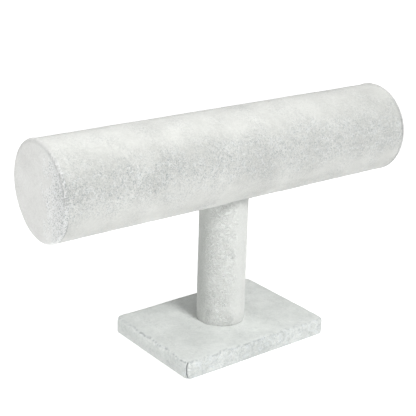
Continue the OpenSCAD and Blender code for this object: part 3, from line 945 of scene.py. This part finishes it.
def velvet(
    name, dark, light, shift, dark_flecks, light_flecks, dotted, size, blotches=0.0, worms=0.0, depth=PILE_DEPTH
):
    """Short crushed pile: cloudy patches, flecks where it is crushed, parted pile over the edges, soft sheen.

    The flecks have a strength for the dark and for the light ones, a size, and how dotted they are. Depth is that of
    the pile's relief, and worms says how far worm-like ridges take the place of clouds and flecks in it; the ridges
    carry a painted highlight and the valleys painted shade.
    """
    s = new_shader(name)
    at = s.scaled(s.cloth(), (1, 1, 1), shift)
    cloud, patch, grain, tuft, furrow = (s.noise(at, *kind) for kind in (CLOUD, PATCH, GRAIN, TUFT, FURROW))
    fleck = s.math("ADD", s.noise(at, size, *FLECK), 0.5 * dotted)
    fleck = s.weighted([(s.dimples(at, size), -dotted)], fleck)
    furrow = s.ramp(s.math("ABSOLUTE", s.math("SUBTRACT", furrow, 0.5)), 0.0, FURROW_HALF)
    opened, crushed, nap_and_shade = (s.mark(name) for name in MARKS)

    calm = 1 - WORMS_CALM * worms
    weights = (CLOUD_WEIGHT * calm, PATCH_WEIGHT * calm, 1.0)
    uneven = s.weighted(zip((cloud, patch, grain), weights), -sum(weights) / 2)
    # The nap_and_shade mark sets the tone: above 0 darker through the nap and painted shade, below 0 painted light
    nap_and_shade_tone = s.math("MULTIPLY_ADD", nap_and_shade, -NAP_AND_SHADE_TONE, 0.5)
    contrast = s.math("MULTIPLY_ADD", crushed, CRUSHED_TONE, SMOOTH_TONE)
    colour = s.mix(s.math("MULTIPLY_ADD", uneven, contrast, nap_and_shade_tone, clamp=True), dark, light)
    if blotches:
        blotch = s.noise(at, *BLOTCH)
        share = s.math("MULTIPLY", s.ramp(crushed, *BLOTCHES_CRUSHED), blotches)
        for limits, paint in ((LIGHT_BLOTCHES_AT, LIGHT_BLOTCH), (DARK_BLOTCHES_AT, DARK_BLOTCH)):
            colour = s.mix(s.math("MULTIPLY", s.ramp(blotch, *limits), share), colour, paint)
    for limits, strength, paint in (
        (DARK_FLECKS_AT, dark_flecks, DARK_FLECK),
        (LIGHT_FLECKS_AT, light_flecks, LIGHT_FLECK),
    ):
        share = s.math("MULTIPLY_ADD", crushed, strength, LEAST_FLECKS)
        colour = s.mix(s.math("MULTIPLY", s.ramp(fleck, *limits), share), colour, paint)
    # Worms: a painted highlight along their ridges and painted shade in their valleys
    if worms:
        ridge_highlight = s.math("SUBTRACT", 1.0, furrow)
        valley_shade = s.ramp(furrow, *VALLEY_SHADE_AT)
        for part, strength, paint in ((ridge_highlight, RIDGE_HIGHLIGHT_STRENGTH, RIDGE_HIGHLIGHT), (valley_shade, VALLEY_SHADE_STRENGTH, VALLEY_SHADE)):
            share = s.math("MULTIPLY", s.math("MULTIPLY", part, crushed), strength * worms)
            colour = s.mix(share, colour, paint)
    parted = s.math("MULTIPLY", s.math("MULTIPLY", opened, s.ramp(grain, *OPENED_AT)), OPENED_STRENGTH)
    colour = s.mix(parted, colour, OPENED)

    plain = 1 - WORMS_PLAIN * worms
    finer = zip((grain, fleck, tuft), (GRAIN_RELIEF, FLECK_RELIEF, TUFT_RELIEF))
    heights = [(patch, PATCH_RELIEF), *((value, weight * plain) for value, weight in finer), (furrow, -worms)]
    standing = s.math("MULTIPLY_ADD", crushed, CRUSHED_RELIEF, LEAST_RELIEF)
    return s.finished(
        Base_Color=colour,
        Normal=s.bump(s.weighted(heights), depth, standing),
        Roughness=0.95, Specular_IOR_Level=0.12, Sheen_Weight=0.5, Sheen_Roughness=0.45,
    )


def felt(name):
    """Thin pressed felt with short matted fibres."""
    s = new_shader(name)
    cloud = s.noise(s.cloth(), size=14 * MM, detail=3.0)
    fibre = s.noise(s.cloth(), size=1.1 * MM, detail=4.0, roughness=0.7, distortion=2.5)
    return s.finished(
        Base_Color=s.mix(s.tone([(cloud, 0.5), (fibre, 0.6)]), srgb(122, 123, 121), srgb(158, 158, 155)),
        Normal=s.bump(fibre, 0.12 * MM),
        Roughness=0.95, Specular_IOR_Level=0.1, Sheen_Weight=0.15, Sheen_Roughness=0.5,
    )


def fibreboard():
    """Raw fibreboard: fine matted fibres with darker specks."""
    s = new_shader("fibreboard")
    fibre = s.noise(s.scaled(s.place(), (1, 1, 4)), size=0.8 * MM, detail=4.0, roughness=0.7, distortion=1.5)
    cloud = s.noise(s.place(), size=9 * MM, detail=3.0)
    colour = s.mix(s.tone([(fibre, 0.7), (cloud, 0.4)]), srgb(132, 102, 70), srgb(178, 146, 108))
    return s.finished(Base_Color=colour, Normal=s.bump(fibre, 0.05 * MM), Roughness=0.85)


def softwood(name, scale):
    """Raw softwood: growth rings stretched along the grain, and fine pores; scale is the stretch of each axis."""
    s = new_shader(name)
    place = s.scaled(s.place(), scale, (0.031, 0.017, 0.053))
    wave = s.node("ShaderNodeTexWave", wave_type="RINGS", rings_direction="Z", wave_profile="SAW")
    ring = s.fed(wave, Vector=place, Scale=70, Distortion=2.5, Detail=2.0, Detail_Scale=1.5).outputs["Fac"]
    pore = s.noise(place, size=0.6 * MM, detail=3.0, roughness=0.6)
    colour = s.mix(s.tone([(ring, 0.6), (pore, 0.5)]), srgb(216, 188, 146), srgb(182, 146, 100))
    return s.finished(Base_Color=colour, Normal=s.bump(pore, 0.04 * MM), Roughness=0.75)


def card():
    """Grey-brown card with short fibres."""
    s = new_shader("card")
    fibre = s.noise(s.place(), size=1.5 * MM, detail=4.0, roughness=0.65, distortion=1.0)
    cloud = s.noise(s.place(), size=12 * MM, detail=2.0)
    colour = s.mix(s.tone([(fibre, 0.6), (cloud, 0.4)]), srgb(170, 150, 118), srgb(202, 184, 152))
    return s.finished(Base_Color=colour, Normal=s.bump(fibre, 0.03 * MM), Roughness=0.9)


def plated(name, dark, light, rough):
    """Thin plating over machined metal: fine turning marks and a cloudy gloss."""
    s = new_shader(name)
    marks = s.noise(s.scaled(s.place(), (1, 1, 9)), size=0.7 * MM, detail=3.0, roughness=0.6)
    cloud = s.noise(s.place(), size=4 * MM, detail=3.0)
    gloss = s.math("MULTIPLY_ADD", cloud, 0.2, rough)
    colour = s.mix(cloud, dark, light)
    return s.finished(Base_Color=colour, Normal=s.bump(marks, 0.015 * MM), Metallic=1.0, Roughness=gloss)


def set_material(material, *nodes):
    """Gives carried-over nodes their finish."""
    for node in nodes:
        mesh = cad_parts[node].data
        mesh.materials.clear()
        mesh.materials.append(material)


def dress_nodes():
    """Finishes of the pieces that keep their shape."""
    zinc = plated("zinc", srgb(176, 180, 184), srgb(214, 216, 218), 0.25)
    set_material(fibreboard(), "base_board", "bar_plug_left", "bar_plug_right")
    set_material(zinc, "base_screw", "base_washer", "post_stud")
    set_material(card(), "bar_tube", "end_disc_left", "end_disc_right")
    set_material(softwood("softwood_post", (1, 1, 0.12)), "post_core")
    set_material(softwood("softwood_block", (0.12, 1, 1)), "bar_block")
    set_material(plated("brass", srgb(170, 132, 66), srgb(212, 178, 104), 0.3), "block_insert")


def build_pieces():
    """Makes each modelled piece and hangs it on the frame."""
    on_base, on_post, on_bar, on_cap = (velvet(name, **look) for name, look in LOOKS.items())
    base = finish_piece(base_cover(), "base_cover", on_base)
    post = finish_piece(post_cover(), "post_cover", on_post)
    bar = finish_piece(bar_cover(), "bar_cover", on_bar)
    for side, end in ((-1, "left"), (1, "right")):
        cap = finish_piece(end_cover(side), f"end_cover_{end}", on_cap)
    backing = finish_piece(felt_backing(), "base_backing", felt("backing_felt"))


# Camera, found by a fit to the outlines in the photograph, of 416 by 416 pixels
PHOTO_WIDTH = 416
FOCAL_PIXELS = 1005.96
SENSOR = 36
CLIP_START = 0.01
CAMERA_AZIMUTH = -37.814
CAMERA_ELEVATION = 19.762
CAMERA_ROLL = 1.502
CAMERA_DISTANCE = 602.81 * MM
CAMERA_TARGET = Vector((-12.068, 0.028, 86.394)) * MM

# Lights, around a point halfway up the stand: name, azimuth, elevation, distance, width and power
LIGHT_TARGET = Vector((0, 0, 80)) * MM
LIGHTS = [
    ("front_top", 0, 60, 1.3, 0.8, 5.4),
    ("front", 0, 52, 1.3, 0.34, 9.3),
    ("left", -95, 30, 1.3, 0.8, 4.5),
    ("left_top", -100, 62, 0.75, 0.5, 1.4),
    ("right", 110, 20, 1.3, 0.6, 2.2),
]
WORLD_LIGHT = 0.0

# Floor: its size, how far it lies below the stand, its glow that lights the stand from below as painted light though
# it is no lamp, and its glow for the camera, which rises between two distances
FLOOR_COLOUR = srgb(232, 232, 232)
FLOOR_SIZE = 5.0
FLOOR_DROP = 0.05 * MM
FLOOR_GLOW_ON_STAND = 0.48
FLOOR_LIFT = (0.72, 1.0)
FLOOR_LIFT_FROM = (0.3, 1.3)


def direction(azimuth, elevation):
    """The way from the object to a place at this azimuth, which is 0 in front, and elevation, in degrees."""
    a, e = math.radians(azimuth), math.radians(elevation)
    return Vector((math.sin(a) * math.cos(e), -math.cos(a) * math.cos(e), math.sin(e)))


def make_camera():
    """The photograph's camera."""
    back = direction(CAMERA_AZIMUTH, CAMERA_ELEVATION)
    right = (-back).cross(Vector((0, 0, 1))).normalized()
    up = right.cross(-back)
    roll_angle = math.radians(CAMERA_ROLL)
    cos, sin = math.cos(roll_angle), math.sin(roll_angle)
    right, up = right * cos + up * sin, up * cos - right * sin
    data = bpy.data.cameras.new("camera")
    data.sensor_width = SENSOR
    data.lens = FOCAL_PIXELS * SENSOR / PHOTO_WIDTH
    data.clip_start = CLIP_START
    camera = placed("camera", data)
    turn = Matrix((right, up, back)).transposed()
    camera.matrix_world = Matrix.Translation(CAMERA_TARGET + back * CAMERA_DISTANCE) @ turn.to_4x4()
    bpy.context.scene.camera = camera


def shown_or_lighting(s, shown, lighting):
    """A strength for what the camera, a reflection or a refraction sees, and another for the light that it gives."""
    path = s.node("ShaderNodeLightPath").outputs
    seen = s.math("MAXIMUM", path["Is Camera Ray"], path["Is Glossy Ray"])
    seen = s.math("MAXIMUM", seen, path["Is Transmission Ray"])
    return s.mix(seen, lighting, shown, "FLOAT")


def make_surroundings():
    """White surroundings that give no light."""
    world = bpy.data.worlds.new("surroundings")
    bpy.context.scene.world = world
    s = Shader(world)
    s.fed(s.tree.nodes["Background"], Color=(1, 1, 1, 1), Strength=shown_or_lighting(s, 1.0, WORLD_LIGHT))


def floor_material():
    """Pale matt floor that keeps the shadow; for the camera it glows enough to look white outside it."""
    s = new_shader("pale_floor")
    s.tree.nodes.clear()
    away = s.node("ShaderNodeVectorMath", operation="LENGTH")
    s.feed(away.inputs[0], s.place())
    glow = s.ramp(away.outputs["Value"], *FLOOR_LIFT_FROM, FLOOR_LIFT)
    matt = s.fed(s.node("ShaderNodeBsdfDiffuse"), Color=FLOOR_COLOUR)
    # It also glows evenly onto the stand, a painted light from below, though it is no lamp
    lift = s.fed(s.node("ShaderNodeEmission"), Strength=shown_or_lighting(s, glow, FLOOR_GLOW_ON_STAND))
    both = s.joined("ShaderNodeAddShader", matt.outputs[0], lift.outputs[0])
    s.fed(s.node("ShaderNodeOutputMaterial"), Surface=both)
    return s.owner


def make_floor():
    """The floor under the stand."""
    mesh = bpy.data.meshes.new("floor")
    half = FLOOR_SIZE / 2
    corners = [(-half, -half, 0), (half, -half, 0), (half, half, 0), (-half, half, 0)]
    mesh.from_pydata(corners, [], [(0, 1, 2, 3)])
    mesh.materials.append(floor_material())
    floor = placed("floor", mesh)
    floor.location.z = -FLOOR_DROP


def make_lamps():
    """Soft round lamps that look at the stand."""
    for name, azimuth, elevation, distance, width, power in LIGHTS:
        data = bpy.data.lights.new(name, "AREA")
        data.shape = "DISK"
        data.size = width
        data.energy = power
        lamp = placed(name, data)
        way = direction(azimuth, elevation)
        lamp.location = LIGHT_TARGET + way * distance
        lamp.rotation_euler = way.to_track_quat("Z", "Y").to_euler()


bpy.context.scene.view_settings.view_transform = "Standard"
make_camera()
make_surroundings()
make_floor()
make_lamps()
build_pieces()
dress_nodes()

bpy.context.view_layer.update()
